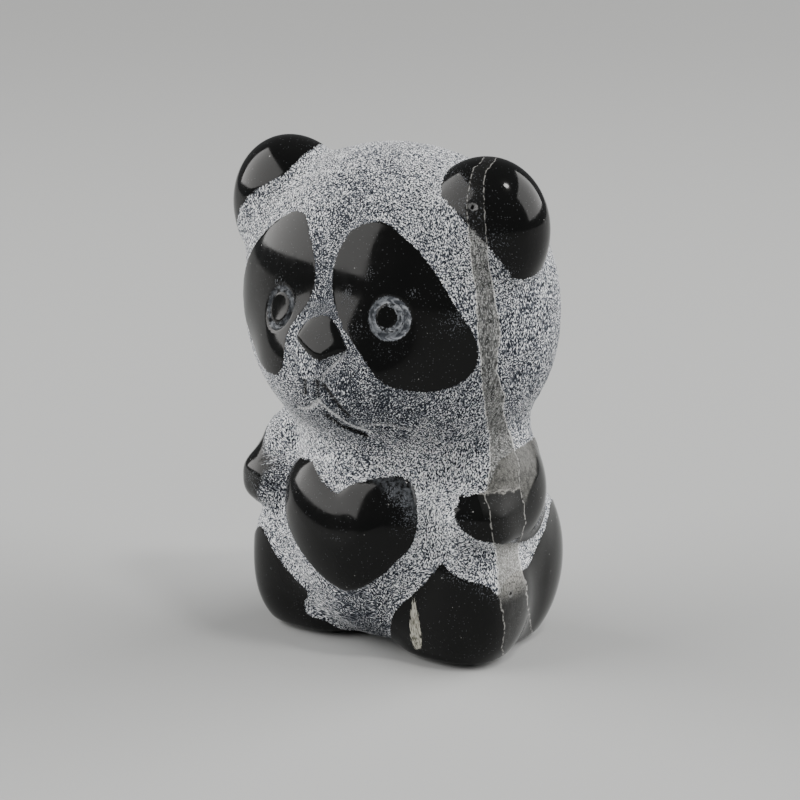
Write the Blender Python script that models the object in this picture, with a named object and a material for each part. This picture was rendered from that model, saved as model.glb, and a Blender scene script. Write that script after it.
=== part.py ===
"""A panda figurine carved from one piece of black stone.

The form is a smooth join of rounded masses: head with muzzle, body, ears, legs and arms.
Its skin is found along rays that leave an upright axis inside the stone, then the low relief
is added: polished fields that stand a little proud, a domed heart, the nose, the eye rings
and the mouth. The figure faces -Y, stands on z = 0, and its left side is +X.
"""

import bpy
import numpy as np

# Driving dimension, in metres. The carving is drawn in hundredths of this height.
HEIGHT = 0.070
SHARE = HEIGHT / 100.0

# Rounded masses: centre and half sizes. Paired ones are given for the +X side.
HEAD_AT = (0.0, -1.5, 68.4)
HEAD_HALF = (33.8, 24.0, 31.6)
HEAD_POWER = 2.12
MUZZLE_AT = (0.0, -19.3, 58.5)
MUZZLE_HALF = (15.3, 10.5, 9.0)
BODY_AT = (0.0, 3.2, 28.3)
BODY_HALF = (28.5, 17.2, 31.2)
BODY_POWER = 2.2
BELLY_AT = (0.0, -9.4, 23.7)
BELLY_HALF = (19.0, 13.1, 20.4)
EAR_AT = (22.6, -5.7, 85.3)
EAR_HALF = (13.0, 10.4, 14.6)
EAR_LEAN = 21.8
FOOT_AT = (16.6, -5.9, 14.1)
FOOT_HALF = (14.0, 10.7, 16.3)
FOOT_POWER = 2.5
HAUNCH_AT = (17.2, 8.4, 16.4)
HAUNCH_HALF = (11.1, 15.8, 19.3)
UPPER_ARM_AT = (24.3, -1.5, 35.3)
UPPER_ARM_HALF = (7.4, 10.4, 10.9)
UPPER_ARM_LEAN = -16.2
FOREARM_AT = (23.1, -6.2, 30.4)
FOREARM_HALF = (7.9, 10.1, 5.8)
FOREARM_POWER = 2.8
FOREARM_TURN = 22.0

# Widths over which neighbouring masses run into each other.
MUZZLE_BLEND = 10.2
BELLY_BLEND = 8.8
NECK_BLEND = 5.8
LEG_BLEND = 5.8
ELBOW_BLEND = 2.9
LIMB_BLEND = 2.5
BASE_EDGE = 2.0

# Edges of the polished fields, as (degrees round from the front, height).
PATCH_LEFT = ((16, 87.3), (27, 87.9), (41, 83.9), (51, 76.8), (59.5, 68.8), (61.5, 64.0),
              (57, 59.0), (42, 57.2), (28, 59.3), (16, 66.4), (7, 72.3), (4, 79.0), (8, 84.9))
PATCH_RIGHT = ((-21, 87.3), (-31, 87.7), (-42, 84.6), (-53, 78.6), (-59, 71.2), (-56, 64.5),
               (-44, 59.5), (-30, 57.8), (-17, 57.9), (-13, 61.0), (-13.5, 66.5), (-8, 71.6),
               (-6, 76.0), (-9, 81.1), (-14, 84.3))
NOSE_EDGE = ((0, 69.5), (-5, 68.0), (-7.5, 65.8), (-3, 63.6), (3, 62.0), (9.5, 62.7), (14.5, 64.2),
             (11.5, 66.8), (7, 68.5))
HEART_EDGE = ((-40, 38.2), (-49, 36.4), (-52, 33.0), (-46, 27.2), (-31, 21.7), (-13, 16.9),
              (4, 14.6), (19, 17.0), (34, 22.5), (41.5, 28.5), (42, 35.0), (35, 38.3),
              (22, 37.8), (9, 36.3), (-2, 34.2), (-13, 35.4), (-26, 37.8))
ARM_EDGE = ((112, 41.8), (100, 43.3), (87, 43.4), (76, 42.2), (71, 39.5), (65, 36.6), (58, 35.2),
            (55.5, 32.5), (59, 29.5), (67, 27.4), (85, 24.8), (97, 24.6), (106, 27.0), (113, 33.0))
RIGHT_ARM_SHIFT = (-2.5, -1.0)
LEG_EDGE = ((27, 5.7), (31, 10.6), (37, 13.9), (45, 18.0), (52, 22.2), (59, 19.8), (66, 18.4),
            (71, 16.4), (75, 19.3), (91, 19.3), (104, 23.6), (120, 28.0), (134, 25.0), (146, 14.0),
            (150, 0.0), (120, -6.0), (60, -6.0), (27, -4.0))
RIGHT_LEG_SHIFT = (4.0, -1.2)

# The ears' fields end along a slanting line on the brow side.
EAR_MARGIN = 0.5
EAR_LINE_AT = (55.0, 91.6)
EAR_LINE_SLOPE = (20.0, -15.4)

# Height and rounding of the relief.
FIELD_STEP = 0.35
FIELD_ROUND = 0.9
PATCH_RISE = 0.25
PATCH_ROUND = 2.4
HEART_RISE = 1.0
HEART_ROUND = 4.5
NOSE_RISE = 0.8
NOSE_ROUND = 3.2
EYES = ((31.0, 71.1), (-23.0, 69.7))
RING_RADIUS = 3.5
RING_HALF_WIDTH = 0.9
RING_DEPTH = 0.6
SMILE = ((-11, 50.8), (-4, 52.8), (3, 54.0), (8, 51.4), (16, 47.4))
PHILTRUM = ((3, 61.4), (2.5, 58.5), (2.5, 55.5))
GROOVE_HALF_WIDTH = 0.95
GROOVE_DEPTH = 0.7

# Radii at which angles round the figure are turned into lengths.
HEAD_RADIUS = 28.0
BODY_RADIUS = 25.0

# Rays: the stretch of the axis they leave from, their reach, and the cells of their box.
AXIS_LOW = 22.0
AXIS_HIGH = 74.0
RAY_REACH = 70.0
HALVINGS = 24
CELLS_ACROSS = 64
CELLS_HIGH = 132
CURVE_STEPS = 6
TRIANGLES = 9600
BASE_FLATNESS = 0.12

# Stone colour and gloss.
STONE_COLOUR = (0.022, 0.023, 0.024, 1.0)
STONE_ROUGHNESS = 0.32


def ellipsoid(points, centre, half, turn=None):
    """Approximate distance to an ellipsoid, negative inside."""
    local = points - np.array(centre)
    if turn is not None:
        local = local @ turn
    scaled = local / np.array(half)
    length = np.sqrt((scaled**2).sum(-1))
    slope = np.sqrt(((scaled / np.array(half))**2).sum(-1))
    return length * (length - 1.0) / np.maximum(slope, 1e-9)


def squarish(points, centre, half, power, turn=None):
    """Approximate distance to an ellipsoid with squared-off sides."""
    local = points - np.array(centre)
    if turn is not None:
        local = local @ turn
    scaled = np.abs(local / np.array(half)) + 1e-6
    total = (scaled**power).sum(-1)
    length = total**(1.0 / power)
    slope = scaled**(power - 1.0) / np.array(half) * (total**(1.0 / power - 1.0))[..., None]
    return (length - 1.0) / np.maximum(np.sqrt((slope**2).sum(-1)), 1e-9)


def join(first, second, width):
    """Union of two forms, filleted over a width."""
    mix = np.clip(0.5 + 0.5 * (second - first) / width, 0.0, 1.0)
    return second + (first - second) * mix - width * mix * (1.0 - mix)


def meet(first, second, width):
    """What two forms have in common, with a rounded edge."""
    return -join(-first, -second, width)


def lean(degrees):
    """Turn about Y, which tips a mass sideways."""
    c, s = np.cos(np.radians(degrees)), np.sin(np.radians(degrees))
    return np.array(((c, 0.0, s), (0.0, 1.0, 0.0), (-s, 0.0, c)))


def swing(degrees):
    """Turn about Z, which points a mass round the body."""
    c, s = np.cos(np.radians(degrees)), np.sin(np.radians(degrees))
    return np.array(((c, -s, 0.0), (s, c, 0.0), (0.0, 0.0, 1.0)))


def on_side(centre, side):
    """A paired mass's centre on the left (+1) or right (-1) side."""
    return (side * centre[0], centre[1], centre[2])


def trunk(points):
    """Head, muzzle, body and belly in one."""
    head = squarish(points, HEAD_AT, HEAD_HALF, HEAD_POWER)
    muzzle = ellipsoid(points, MUZZLE_AT, MUZZLE_HALF)
    body = squarish(points, BODY_AT, BODY_HALF, BODY_POWER)
    belly = ellipsoid(points, BELLY_AT, BELLY_HALF)
    return join(join(head, muzzle, MUZZLE_BLEND), join(body, belly, BELLY_BLEND), NECK_BLEND)


def ear(points, side):
    return ellipsoid(points, on_side(EAR_AT, side), EAR_HALF, lean(side * EAR_LEAN))


def leg(points, side):
    foot = squarish(points, on_side(FOOT_AT, side), FOOT_HALF, FOOT_POWER)
    haunch = ellipsoid(points, on_side(HAUNCH_AT, side), HAUNCH_HALF)
    return join(foot, haunch, LEG_BLEND)


def arm(points, side):
    upper_turn = lean(side * UPPER_ARM_LEAN)
    upper = ellipsoid(points, on_side(UPPER_ARM_AT, side), UPPER_ARM_HALF, upper_turn)
    fore_turn = swing(side * FOREARM_TURN)
    fore = squarish(points, on_side(FOREARM_AT, side), FOREARM_HALF, FOREARM_POWER, fore_turn)
    return join(upper, fore, ELBOW_BLEND)


def panda(points):
    """The whole figure, cut flat at its base."""
    form = trunk(points)
    for side in (1, -1):
        for limb in (ear, leg, arm):
            form = join(form, limb(points, side), LIMB_BLEND)
    return meet(form, -points[..., 2], BASE_EDGE)


def smooth_outline(corners, closed=True):
    """Points along a Catmull-Rom curve through the corners."""
    knots = np.array(corners, float)
    if closed:
        knots = np.vstack((knots[-1:], knots, knots[:2]))
    else:
        knots = np.vstack((knots[:1], knots, knots[-1:]))
    t = np.arange(CURVE_STEPS)[:, None] / CURVE_STEPS
    spans = []
    for a, b, c, d in zip(knots, knots[1:], knots[2:], knots[3:]):
        bend = (2 * a - 5 * b + 4 * c - d) * t**2 + (3 * b - a - 3 * c + d) * t**3
        spans.append(b + 0.5 * ((c - a) * t + bend))
    if not closed:
        spans.append(knots[-1:])
    return np.vstack(spans)


def distance_to_line(places, line):
    """Distance from each place on the chart to a run of straight pieces."""
    nearest = np.full(len(places), np.inf)
    for start, end in zip(line, line[1:]):
        along = end - start
        offset = places - start
        share = np.clip(offset @ along / max(along @ along, 1e-12), 0.0, 1.0)
        gap = offset - share[:, None] * along
        nearest = np.minimum(nearest, np.sqrt((gap**2).sum(-1)))
    return nearest


def depth_inside(places, outline):
    """Distance in from a closed outline on the chart, negative outside."""
    ring = np.vstack((outline, outline[:1]))
    inside = np.zeros(len(places), bool)
    for (x0, y0), (x1, y1) in zip(ring, ring[1:]):
        if y0 == y1:
            continue
        crosses = (places[:, 1] < y0) != (places[:, 1] < y1)
        inside ^= crosses & (places[:, 0] < x0 + (places[:, 1] - y0) * (x1 - x0) / (y1 - y0))
    away = distance_to_line(places, ring)
    return np.where(inside, away, -away)


def chart(corners, radius):
    """(degrees, height) pairs as lengths on a drum of the given radius."""
    table = np.array(corners, float)
    return np.column_stack((np.radians(table[:, 0]) * radius, table[:, 1]))


def chart_points(points, radius):
    angle = np.arctan2(points[:, 0], -points[:, 1])
    return np.column_stack((angle * radius, points[:, 2]))


def field_depth(points, corners, radius):
    outline = smooth_outline(chart(corners, radius))
    return depth_inside(chart_points(points, radius), outline)


def mirrored(corners, shift=(0.0, 0.0)):
    """The same edge on the figure's right side, moved round and up by a shift."""
    return [(-angle - shift[0], height + shift[1]) for angle, height in corners]


def ear_depth(points, side):
    """Depth inside an ear's polished field."""
    places = chart_points(points * np.array((side, 1, 1)), HEAD_RADIUS)
    start = chart((EAR_LINE_AT,), HEAD_RADIUS)[0]
    run = np.array((np.radians(EAR_LINE_SLOPE[0]) * HEAD_RADIUS, EAR_LINE_SLOPE[1]))
    across = np.array((-run[1], run[0])) / np.hypot(*run)
    bulge = trunk(points) - ear(points, side) - EAR_MARGIN
    return np.minimum(bulge, (places - start) @ across)


def ease(amount):
    """Smooth step from 0 to 1."""
    t = np.clip(amount, 0.0, 1.0)
    return t * t * (3.0 - 2.0 * t)


def cushion(depth, roundness):
    """Quarter-round profile: 0 at the edge, 1 where the edge's rounding ends."""
    t = np.clip(depth / roundness, 0.0, 1.0)
    return np.sqrt(1.0 - (1.0 - t)**2)


def groove(away, half_width):
    """1 on the middle of a cut, 0 past its sides."""
    return 1.0 - ease(away / half_width)


def relief(points):
    """How far the skin stands out from the joined masses."""
    patches = np.maximum(field_depth(points, PATCH_LEFT, HEAD_RADIUS),
                         field_depth(points, PATCH_RIGHT, HEAD_RADIUS))
    nose = field_depth(points, NOSE_EDGE, HEAD_RADIUS)
    heart = field_depth(points, HEART_EDGE, BODY_RADIUS)
    edges = (ARM_EDGE, mirrored(ARM_EDGE, RIGHT_ARM_SHIFT),
             LEG_EDGE, mirrored(LEG_EDGE, RIGHT_LEG_SHIFT))
    limbs = [field_depth(points, edge, BODY_RADIUS) for edge in edges]
    limbs += [ear_depth(points, side) for side in (1, -1)]
    polished = np.max([patches, nose, heart] + limbs, axis=0)

    height = FIELD_STEP * ease(polished / FIELD_ROUND)
    height += PATCH_RISE * cushion(patches, PATCH_ROUND)
    height += HEART_RISE * cushion(heart, HEART_ROUND)
    height += NOSE_RISE * cushion(nose, NOSE_ROUND)

    places = chart_points(points, HEAD_RADIUS)
    for eye in chart(EYES, HEAD_RADIUS):
        away = np.abs(np.sqrt(((places - eye)**2).sum(-1)) - RING_RADIUS)
        height -= RING_DEPTH * groove(away, RING_HALF_WIDTH)
    for line in (SMILE, PHILTRUM):
        cut = smooth_outline(chart(line, HEAD_RADIUS), closed=False)
        height -= GROOVE_DEPTH * groove(distance_to_line(places, cut), GROOVE_HALF_WIDTH)
    return height * ease(points[:, 2] / BASE_EDGE)


def box_skin(across, high):
    """Lattice corners and quads of a box's skin, the quads facing out."""
    shape = (across + 1, across + 1, high + 1)
    skin = np.zeros(shape, bool)
    for axis in range(3):
        for end in (0, -1):
            np.moveaxis(skin, axis, 0)[end] = True
    number = np.cumsum(skin).reshape(shape) - 1
    quads = []
    for axis in range(3):
        for end in (0, -1):
            sheet = np.moveaxis(number, axis, 0)[end]
            corners = [sheet[:-1, :-1], sheet[1:, :-1], sheet[1:, 1:], sheet[:-1, 1:]]
            if (end == 0) != (axis == 1):
                corners.reverse()
            quads.append(np.stack(corners, -1).reshape(-1, 4))
    return np.argwhere(skin) / np.array((across, across, high)), np.vstack(quads)


def reach(starts, ways, level):
    """Where each ray meets the surface on which the form has the given level."""
    near = np.zeros(len(starts))
    far = np.full(len(starts), RAY_REACH)
    for _ in range(HALVINGS):
        middle = 0.5 * (near + far)
        inside = panda(starts + middle[:, None] * ways) < level
        near = np.where(inside, middle, near)
        far = np.where(inside, far, middle)
    return starts + near[:, None] * ways


def carve():
    """Corners, in metres, and quads of the finished skin."""
    lattice, quads = box_skin(CELLS_ACROSS, CELLS_HIGH)
    ways = np.tan((lattice - 0.5) * np.pi / 2)
    ways /= np.sqrt((ways**2).sum(-1))[:, None]
    starts = np.zeros_like(ways)
    starts[:, 2] = AXIS_LOW + (AXIS_HIGH - AXIS_LOW) * lattice[:, 2]
    smooth = reach(starts, ways, 0.0)
    carved = reach(starts, ways, relief(smooth))
    return carved * SHARE, quads


def stone():
    """Polished black stone."""
    material = bpy.data.materials.new("black_stone")
    material.use_nodes = True
    shader = material.node_tree.nodes["Principled BSDF"]
    shader.inputs["Base Color"].default_value = STONE_COLOUR
    shader.inputs["Roughness"].default_value = STONE_ROUGHNESS
    shader.inputs["Metallic"].default_value = 0.0
    return material


def thin(piece, ratio):
    """Leave only the faces the carving needs."""
    fewer = piece.modifiers.new("fewer_faces", "DECIMATE")
    fewer.ratio = ratio
    drawn = piece.evaluated_get(bpy.context.evaluated_depsgraph_get())
    piece.data = bpy.data.meshes.new_from_object(drawn)
    piece.modifiers.remove(fewer)


def level_base(mesh):
    """Grind the underside truly flat."""
    heights = np.empty(3 * len(mesh.vertices), np.float32)
    mesh.vertices.foreach_get("co", heights)
    places = heights.reshape(-1, 3)
    places[places[:, 2] < BASE_FLATNESS * SHARE, 2] = 0.0
    mesh.vertices.foreach_set("co", places.ravel())
    mesh.update()


def figurine():
    """The carved panda as one closed solid."""
    corners, quads = carve()
    mesh = bpy.data.meshes.new("panda_figurine")
    mesh.from_pydata(corners.tolist(), [], quads.tolist())
    mesh.materials.append(stone())
    piece = bpy.data.objects.new("panda_figurine", mesh)
    bpy.context.collection.objects.link(piece)
    thin(piece, TRIANGLES / (2 * len(quads)))
    level_base(piece.data)
    piece.data.shade_smooth()
    return piece


for leftover in list(bpy.data.objects):
    bpy.data.objects.remove(leftover)
figurine()
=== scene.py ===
"""Looks of a panda figurine carved from one piece of black stone.

The carving is the CAD solid's own form, cut again with more points: rounded masses run
together, polished fields that stand a little proud, a domed heart, nose, eye rings and mouth.
Its material is one black stone, polished in the fields and ground to short pale strokes for
the fur, with a grey vein that crosses it from the left ear to the left foot.
"""

import bpy
import numpy as np
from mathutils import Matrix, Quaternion, Vector, noise


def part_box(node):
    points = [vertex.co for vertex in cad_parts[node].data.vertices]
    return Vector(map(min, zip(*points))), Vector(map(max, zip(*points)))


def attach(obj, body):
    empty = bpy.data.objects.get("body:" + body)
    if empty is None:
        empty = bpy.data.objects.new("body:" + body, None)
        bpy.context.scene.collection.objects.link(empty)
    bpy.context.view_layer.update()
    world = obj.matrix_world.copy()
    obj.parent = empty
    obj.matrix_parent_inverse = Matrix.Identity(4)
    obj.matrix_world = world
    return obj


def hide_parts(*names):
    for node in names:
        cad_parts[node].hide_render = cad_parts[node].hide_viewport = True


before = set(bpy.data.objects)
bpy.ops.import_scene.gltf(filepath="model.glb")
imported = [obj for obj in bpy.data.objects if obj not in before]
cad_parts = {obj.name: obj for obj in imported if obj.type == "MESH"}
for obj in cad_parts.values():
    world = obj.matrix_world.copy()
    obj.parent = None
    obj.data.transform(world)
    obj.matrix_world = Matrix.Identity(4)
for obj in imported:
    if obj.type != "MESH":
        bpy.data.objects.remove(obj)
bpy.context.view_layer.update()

# The carving is drawn in hundredths of its height, and the ears' relief tops it at 100.06.
# SHARE is one hundredth in metres, MM the same in millimetres.
TOP = 100.06
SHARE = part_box("panda_figurine")[1][2] / TOP
MM_PER_M = 1000.0
MM = SHARE * MM_PER_M

# Rounded masses: centre and half sizes. Paired ones are given for the +X side.
HEAD_AT = (0.0, -1.5, 68.4)
HEAD_HALF = (33.8, 24.0, 31.6)
HEAD_POWER = 2.12
MUZZLE_AT = (0.0, -19.3, 58.5)
MUZZLE_HALF = (15.3, 10.5, 9.0)
BODY_AT = (0.0, 3.2, 28.3)
BODY_HALF = (28.5, 17.2, 31.2)
BODY_POWER = 2.2
BELLY_AT = (0.0, -9.4, 23.7)
BELLY_HALF = (19.0, 13.1, 20.4)
EAR_AT = (22.6, -5.7, 85.3)
EAR_HALF = (13.0, 10.4, 14.6)
EAR_LEAN = 21.8
FOOT_AT = (16.6, -5.9, 14.1)
FOOT_HALF = (14.0, 10.7, 16.3)
FOOT_POWER = 2.5
HAUNCH_AT = (17.2, 8.4, 16.4)
HAUNCH_HALF = (11.1, 15.8, 19.3)
UPPER_ARM_AT = (24.3, -1.5, 35.3)
UPPER_ARM_HALF = (7.4, 10.4, 10.9)
UPPER_ARM_LEAN = -16.2
FOREARM_AT = (23.1, -6.2, 30.4)
FOREARM_HALF = (7.9, 10.1, 5.8)
FOREARM_POWER = 2.8
FOREARM_TURN = 22.0

# Widths over which neighbouring masses run into each other.
MUZZLE_BLEND = 10.2
BELLY_BLEND = 8.8
NECK_BLEND = 5.8
LEG_BLEND = 5.8
ELBOW_BLEND = 2.9
LIMB_BLEND = 2.5
BASE_EDGE = 2.0

# Edges of the polished fields, as (degrees round from the front, height).
PATCH_LEFT = ((11, 86.4), (18, 87.6), (27, 87.9), (34, 86.3), (41, 83.9), (47, 80.4), (51, 76.8),
              (55, 72.7), (59.5, 68.8), (61.5, 65.2), (61, 61.7), (57, 59.0), (50, 57.3),
              (42, 57.1), (33, 58.0), (28, 59.2), (24.5, 61.3), (20.5, 63.9), (16, 66.4),
              (11, 69.1), (6.5, 72.3), (3.8, 75.6), (3.6, 79.0), (5, 82.1), (8, 84.9))
PATCH_RIGHT = ((-21, 87.3), (-29, 87.9), (-35, 86.9), (-42, 84.6), (-50, 80.7), (-56, 76.0),
               (-59, 71.2), (-58, 66.3), (-51, 61.9), (-40, 59.0), (-30, 57.9), (-23, 57.4),
               (-16, 58.0), (-13, 60.1), (-13, 62.9), (-14, 65.6), (-12, 68.5), (-8, 71.4),
               (-6, 74.3), (-6, 77.8), (-9, 81.1), (-14, 84.3))
NOSE_EDGE = ((-1.0, 70.0), (-4.6, 69.1), (-7.4, 67.5), (-8.2, 65.7), (-4.8, 64.4), (-1.2, 63.4),
             (2.2, 62.6), (5.4, 62.4), (9.0, 63.2), (12.0, 64.0), (14.9, 64.6), (12.7, 66.7),
             (10.0, 68.3), (6.7, 69.7), (2.8, 70.3))
HEART_EDGE = ((-37, 37.8), (-44, 37.4), (-49, 35.0), (-48.6, 31.5), (-43, 25.8), (-31, 21.9),
              (-19, 18.6), (-7, 15.8), (4, 14.6), (15, 16.1), (25, 19.0), (32, 21.9), (39, 25.0),
              (42.5, 29.3), (42.3, 34.2), (40.5, 36.9), (34, 38.3), (24, 37.9), (15, 37.0),
              (6, 35.9), (-1, 34.1), (-9, 34.7), (-19, 36.6), (-27, 38.0))
ARM_LEFT = ((112, 41.8), (100, 43.3), (87, 43.4), (79, 42.7), (74, 41.3), (70, 38.7), (67, 36.8),
            (63, 36.4), (58, 35.4), (55.5, 33.4), (56, 31.3), (58.5, 29.5), (62, 28.3),
            (67, 27.4), (85, 24.8), (97, 24.6), (106, 27.0), (113, 33.0))
ARM_RIGHT = ((-112, 40.8), (-92, 42.4), (-78, 41.4), (-70, 38.8), (-64, 36.8), (-58.2, 35.5),
             (-54.8, 34.3), (-53.7, 32.4), (-54.2, 30.6), (-56, 28.6), (-60, 26.4), (-85, 23.8),
             (-98, 23.8), (-108, 26.0), (-113, 32.0))
LEG_LEFT = ((27, 5.7), (30, 9.9), (34, 12.5), (42, 16.1), (48, 19.6), (52, 22.3), (55, 21.2),
            (59, 19.8), (65, 18.9), (68.5, 17.6), (71, 16.2), (73.5, 18.6), (79, 19.7),
            (91, 19.3), (99, 22.2), (112, 26.6), (123, 28.1), (134, 25.0), (146, 14.0),
            (150, 0.0), (120, -6.0), (60, -6.0), (27, -4.0))
LEG_RIGHT = ((-31, 3.4), (-34, 4.6), (-38.5, 5.0), (-38.5, 7.6), (-33.5, 10.6), (-39, 12.4),
             (-46, 14.8), (-51, 17.7), (-55, 20.0), (-60, 21.2), (-66, 18.6), (-76, 18.0),
             (-90, 18.6), (-100, 21.6), (-112, 25.6), (-123, 27.0), (-134, 24.0), (-146, 13.0),
             (-150, 0.0), (-120, -6.0), (-60, -6.0), (-30, -4.0))

# The ears' fields end along a slanting line on the brow side.
EAR_MARGIN = 1.5
EAR_LINE_AT = (55.0, 91.6)
EAR_LINE_SLOPE = (20.0, -15.4)

# Height and rounding of the relief.
FIELD_STEP = 0.35
FIELD_ROUND = 0.9
HEART_LIP = 0.45
HEART_LIP_ROUND = 1.6
HEART_DOME = 1.1
HEART_DOME_ROUND = 12.0
NOSE_DOME = 0.3
NOSE_DOME_ROUND = 4.6
NOSE_TIP = 1.0
NOSE_TIP_ROUND = 1.4
NOSE_LOW = 61.5
NOSE_HIGH = 70.0
RING_SIDE = 0.7
RING_DEPTH = 0.75
GROOVE_HALF_WIDTH = 0.75
GROOVE_DEPTH = 0.8

# Rings cut round the eyes: (degrees, height) and radius of the outer edge, then of the inner.
# The second is the drill's first bite, a crescent inside the left eye's ring.
RINGS = (((30.5, 70.9), 4.15, (30.5, 71.0), 2.65), ((31.0, 71.0), 2.45, (29.6, 71.1), 1.95),
         ((-23.7, 70.0), 4.25, (-23.7, 70.0), 2.9))

# Cuts of the mouth and muzzle, as runs of (degrees, height): pale scored ones and dark ones. The folds
# are shallow grooves painted dark as shade: along the shaded lower edge of the near lobe, and two
# short slits below the nose.
LIPS = (((-13.2, 51.3), (-8.4, 51.4), (-3.3, 52.3), (2.7, 54.4)),
        ((2.6, 53.8), (5.1, 52.4), (8.0, 50.9), (10.8, 49.2), (15.7, 48.1), (19.5, 47.5)))
LOBES = (((14.4, 64.3), (10.7, 62.2), (6.7, 60.1), (6.0, 58.5)),
         ((16.3, 48.8), (25.0, 49.7), (32.3, 49.3), (39.0, 48.3)))
FOLDS_SHADED = (((6.3, 57.7), (8.4, 56.0), (10.0, 54.6), (11.9, 52.7), (13.7, 51.5)),
         ((-2.3, 58.0), (-3.3, 55.2)), ((3.4, 58.4), (2.8, 55.3)))
MOUTH = (((3.2, 50.6), (5.0, 49.4), (7.2, 48.2), (10.4, 47.6), (16.2, 46.3)),)

# Each kind of cut: its name, its runs and its share of GROOVE_DEPTH. A cut is felt as far as its
# reach, and fades out over the last part of it.
CUTS = (("lip", LIPS, 0.5), ("lobe", LOBES, 0.3), ("fold_shade", FOLDS_SHADED, 0.7), ("mouth", MOUTH, 1.6))
CUT_REACH = 1.0
CUT_FADE = 0.5

# The vein is a slanting sheet through the stone. Its two faces, as (height, offset) along a
# level direction turned this many degrees from +X.
VEIN_TURN = 30.0
VEIN_LEFT = ((0.0, 21.6), (5.0, 21.5), (9.5, 22.1), (12.9, 21.6), (16.1, 21.0), (28.1, 20.0),
             (33.8, 19.3), (35.8, 18.2), (40.4, 18.9), (45.9, 18.5), (54.2, 17.9), (60.5, 17.5),
             (64.9, 17.3), (67.7, 16.9), (76.0, 16.5), (80.7, 15.6), (87.8, 14.9), (91.1, 14.5),
             (93.7, 14.4), (95.9, 14.8), (98.6, 15.3), (99.6, 16.8))
VEIN_RIGHT = ((0.0, 26.3), (3.5, 26.2), (10.2, 26.1), (16.6, 25.7), (20.2, 24.6), (23.2, 24.0),
              (25.0, 24.5), (29.5, 25.7), (33.8, 25.4), (36.7, 24.6), (40.9, 24.2), (44.7, 22.5),
              (47.8, 21.6), (52.6, 21.2), (55.6, 21.6), (57.6, 21.0), (60.5, 20.3), (64.6, 20.5),
              (67.4, 20.9), (70.8, 20.7), (74.2, 19.9), (78.1, 19.3), (80.7, 18.7),
              (84.4, 18.5), (88.3, 18.1), (93.4, 17.7), (96.7, 17.4), (98.3, 17.8), (99.7, 19.1))

# Small marks: a cream inclusion on the foot, a smoky bruise on the heart, drilled pits, and
# scuffed spots as (degrees, height, radius, strength).
INCLUSION = ((40.8, 14.8), (42.5, 12.2), (43.7, 9.2), (45.0, 6.1), (44.9, 4.1), (42.6, 3.3),
             (40.4, 5.0), (39.3, 8.2), (39.5, 11.5), (40.2, 14.0))
BRUISE = ((17.4, 37.6), (25.0, 36.2), (31.1, 34.8), (37.2, 32.9), (39.4, 30.9), (41.8, 29.6),
          (43.0, 32.6), (42.3, 35.8), (39.5, 37.9), (28.6, 38.6))
PITS = ((61.0, 91.9), (77.0, 15.8))
PIT_RADIUS = 0.7
PIT_DEPTH = 0.5
SCUFFS = ((11.5, 74.4, 1.5, 1.0), (13.5, 72.6, 1.8, 0.5), (17.0, 68.5, 3.0, 0.35),
          (21.7, 78.7, 1.2, 0.7), (39.3, 75.8, 1.0, 0.8), (54.1, 70.6, 2.6, 0.75),
          (57.0, 72.9, 1.6, 0.7), (50.5, 69.0, 1.6, 0.4), (-26.7, 74.9, 1.3, 0.7),
          (-14.0, 71.5, 2.2, 0.35), (3.1, 66.4, 0.8, 0.3), (38.0, 31.5, 4.0, 0.45),
          (29.5, 35.6, 1.5, 1.2), (35.0, 34.0, 1.6, 1.3), (38.8, 31.6, 1.6, 1.3),
          (30.0, 66.0, 4.0, 0.22), (62.0, 95.5, 2.6, 0.4), (58.5, 90.5, 2.6, 0.6),
          (64.5, 85.5, 2.4, 0.55), (69.0, 80.5, 2.4, 0.55), (56.5, 20.6, 2.2, 0.5),
          (64.0, 18.6, 2.6, 0.6), (70.0, 17.0, 2.2, 0.5), (-58.0, 30.5, 2.5, 0.5),
          (57.5, 31.0, 2.0, 0.45))

# Painted light and shade on the fur: patches that make its strokes show paler (amount above 0) or
# darker (below 0), as (degrees, height, radius, amount).
PAINTED_FUR_LIGHT_AND_SHADE = ((10.0, 90.0, 13.0, -0.04), (0.0, 75.0, 10.0, -0.06), (8.0, 55.0, 13.0, -0.06),
         (35.0, 51.0, 10.0, -0.05), (85.0, 60.0, 20.0, -0.05), (10.0, 8.0, 10.0, -0.09),
         (42.0, 38.0, 12.0, 0.04), (-40.0, 44.0, 10.0, 0.02), (-54.0, 31.5, 3.6, -0.07))

# Radii at which angles round the figure are turned into lengths. Scuffs above the head's
# bottom go by the head's radius.
HEAD_RADIUS = 28.0
BODY_RADIUS = 25.0
HEAD_BOTTOM = 45.0

# Rays: the stretch of the axis they leave from, their reach, how often it is halved, and the
# cells of their box.
AXIS_LOW = 22.0
AXIS_HIGH = 74.0
RAY_REACH = 70.0
HALVINGS = 20
CELLS_ACROSS = 96
CELLS_HIGH = 200

# Outlines: the steps between two of their corners, and the greatest distance told from them.
CURVE_STEPS = 4
CHART_MARGIN = 6.0

# Points lower than this are put on the base.
BASE_FLATNESS = 0.12

# Unevenness of the ground fur, in millimetres.
LUMP_SIZES = (1.1, 0.55)
LUMP_HEIGHTS = (0.045, 0.04)

# What the mesh keeps for its material: lengths, in millimetres, and strengths.
KEPT_LENGTHS = ("polish", "ring", "lip", "lobe", "fold_shade", "mouth", "pit", "inclusion", "bruise",
                "vein_left", "vein_right")
KEPT_STRENGTHS = ("lip_near", "lobe_near", "fold_shade_near", "mouth_near", "scuff", "painted_fur_shading")

# Small numbers that keep quotients and powers defined.
TINY = 1e-9
OFF_ZERO = 1e-6


def ellipsoid(points, centre, half, turn=None):
    """Approximate distance to an ellipsoid, negative inside."""
    local = points - np.array(centre)
    if turn is not None:
        local = local @ turn
    scaled = local / np.array(half)
    length = np.sqrt((scaled**2).sum(-1))
    slope = np.sqrt(((scaled / np.array(half))**2).sum(-1))
    return length * (length - 1.0) / np.maximum(slope, TINY)


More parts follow.
